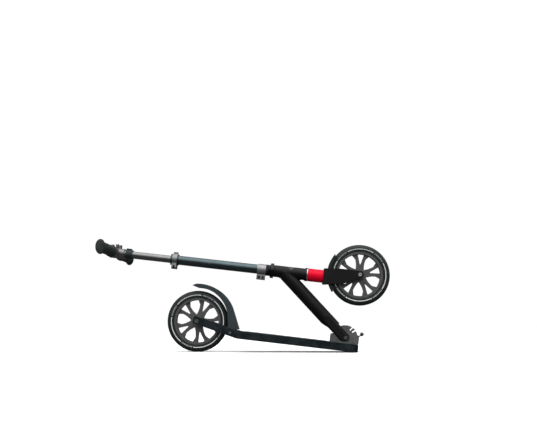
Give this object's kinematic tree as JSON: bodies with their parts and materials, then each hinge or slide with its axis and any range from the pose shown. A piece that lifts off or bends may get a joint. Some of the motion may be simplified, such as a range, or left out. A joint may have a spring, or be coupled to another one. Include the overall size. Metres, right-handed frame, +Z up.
{
  "type": "folding kick scooter",
  "caption": "Folding kick scooter with big wheels, a telescoping column, folding grips and a rear fender brake, stored folded and standing on its rear wheel and nose.",
  "frame": {"origin": "on the floor under the middle of the folded scooter", "axes": "+X towards the deck's nose and the front wheel, +Z up, +Y the rider's left"},
  "size_m": [0.951, 0.39, 0.3648],
  "materials": {
    "frame_black": "satin powder coat",
    "deck_dark": "satin powder coat",
    "grip_sheet": "abrasive sheet",
    "bracket_grey": "painted casting",
    "titanium_grey": "satin anodised",
    "teal_anodised": "dark anodised",
    "sleeve_red": "moulded in colour",
    "bolt_silver": "zinc plated",
    "inner_steel": "plain steel",
    "bronze": "sintered bronze",
    "plastic_dark": "moulded",
    "rim_grey": "moulded",
    "tyre_dark": "cast polyurethane",
    "grip_rubber": "soft rubber",
    "pad_rubber": "hard rubber"
  },
  "bodies": {
    "deck": {"deck_platform": "deck_dark", "grip_tape": "grip_sheet", "nose_cap": "plastic_dark", "rail_left": "deck_dark", "rail_right": "deck_dark", "rear_crossmember": "deck_dark", "fold_bracket": "bracket_grey", "bracket_bolts": "bolt_silver", "pivot_bolt": "bolt_silver", "knob_spring": "inner_steel", "rear_axle": "bolt_silver", "rear_axle_spacers": "inner_steel", "fender_hinge_pin": "bolt_silver", "fender_spring": "inner_steel"},
    "neck": {"fold_yoke": "frame_black", "pivot_bushings": "bronze", "down_tube": "frame_black", "head_tube": "frame_black", "lower_headset_cup": "plastic_dark", "upper_headset_cup": "plastic_dark", "lock_spring": "inner_steel"},
    "fold_lock": {"lock_bolt": "inner_steel"},
    "release_knob": {"push_knob": "plastic_dark", "knob_stem": "inner_steel"},
    "brake": {"brake_fender": "deck_dark", "brake_pad": "pad_rubber"},
    "rear_wheel": {"rear_tyre": "tyre_dark", "rear_rim": "rim_grey", "rear_wheel_bearings": "inner_steel"},
    "fork_column": {"fork": "frame_black", "fork_sleeve": "sleeve_red", "headset_bearings": "inner_steel", "headset_locknut": "plastic_dark", "stem_clamp": "titanium_grey", "stem_clamp_bolts": "bolt_silver", "outer_tube": "teal_anodised", "qr_collar": "plastic_dark", "qr_bolt": "bolt_silver", "front_mudguard": "plastic_dark", "mudguard_screws": "bolt_silver", "front_axle": "bolt_silver", "front_axle_spacers": "inner_steel"},
    "front_wheel": {"front_tyre": "tyre_dark", "front_rim": "rim_grey", "front_wheel_bearings": "inner_steel"},
    "quick_release": {"qr_lever": "titanium_grey"},
    "height_button_l": {"height_button_left": "bolt_silver"},
    "height_button_r": {"height_button_right": "bolt_silver"},
    "handlebar": {"inner_tube": "titanium_grey", "height_spring": "inner_steel", "clip_ring": "plastic_dark", "t_head": "titanium_grey", "grip_hinge_pins": "bolt_silver"},
    "grip_l": {"grip_arm_left": "titanium_grey", "grip_left": "grip_rubber"},
    "grip_r": {"grip_arm_right": "titanium_grey", "grip_right": "grip_rubber"},
    "grip_lock_l": {"grip_lock_left": "plastic_dark"},
    "grip_lock_r": {"grip_lock_right": "plastic_dark"}
  },
  "joints": [
    {"name": "fold", "type": "hinge", "parent": "deck", "child": "neck", "pos_m": [0.32408, 0, 0.04779], "axis": [0, 1, 0], "range_deg": [0, 84]},
    {"name": "steering", "type": "hinge", "parent": "neck", "child": "fork_column", "pos_m": [0.37099, 0, 0.23877], "axis": [-0.9934, 0, 0.1147], "continuous": true},
    {"name": "front_wheel_spin", "type": "hinge", "parent": "fork_column", "child": "front_wheel", "pos_m": [0.37305, 0, 0.25666], "axis": [0, 1, 0], "continuous": true},
    {"name": "rear_wheel_spin", "type": "hinge", "parent": "deck", "child": "rear_wheel", "pos_m": [-0.16981, 0, 0.1025], "axis": [0, 1, 0], "continuous": true},
    {"name": "brake_press", "type": "hinge", "parent": "deck", "child": "brake", "pos_m": [-0.05756, 0, 0.06417], "axis": [0, -1, 0], "range_deg": [0, 4.4], "stiffness_Nm_per_rad": 3, "springref_deg": -8.59},
    {"name": "handlebar_height", "type": "slide", "parent": "fork_column", "child": "handlebar", "axis": [-0.9934, 0, 0.1147], "range_m": [0, 0.1]},
    {"name": "quick_release_lever", "type": "hinge", "parent": "fork_column", "child": "quick_release", "pos_m": [-0.25088, -0.015, 0.28439], "axis": [0.9934, 0, -0.1147], "range_deg": [0, 110]},
    {"name": "height_button_press_left", "type": "slide", "parent": "fork_column", "child": "height_button_l", "axis": [0, -1, 0], "range_m": [0, 0.002], "stiffness_N_per_m": 400, "springref_m": -0.001},
    {"name": "height_button_press_right", "type": "slide", "parent": "fork_column", "child": "height_button_r", "axis": [0, 1, 0], "range_m": [0, 0.002], "stiffness_N_per_m": 400, "springref_m": -0.001},
    {"name": "grip_fold_left", "type": "hinge", "parent": "handlebar", "child": "grip_l", "pos_m": [-0.45155, 0.045, 0.33372], "axis": [-0.1147, 0, -0.9934], "range_deg": [0, 90]},
    {"name": "grip_fold_right", "type": "hinge", "parent": "handlebar", "child": "grip_r", "pos_m": [-0.45155, -0.045, 0.33372], "axis": [0.1147, 0, 0.9934], "range_deg": [0, 90]},
    {"name": "grip_lock_press_left", "type": "slide", "parent": "handlebar", "child": "grip_lock_l", "axis": [-0.1147, 0, -0.9934], "range_m": [0, 0.003], "stiffness_N_per_m": 400, "springref_m": -0.001},
    {"name": "grip_lock_press_right", "type": "slide", "parent": "handlebar", "child": "grip_lock_r", "axis": [-0.1147, 0, -0.9934], "range_m": [0, 0.003], "stiffness_N_per_m": 400, "springref_m": -0.001},
    {"name": "release_knob_push", "type": "slide", "parent": "deck", "child": "release_knob", "axis": [-0.8347, 0, -0.5507], "range_m": [0, 0.004], "stiffness_N_per_m": 600, "springref_m": -0.001},
    {"name": "lock_bolt_slide", "type": "slide", "parent": "neck", "child": "fold_lock", "axis": [0.6745, 0, -0.7383], "range_m": [0, 0.0095]}
  ]
}
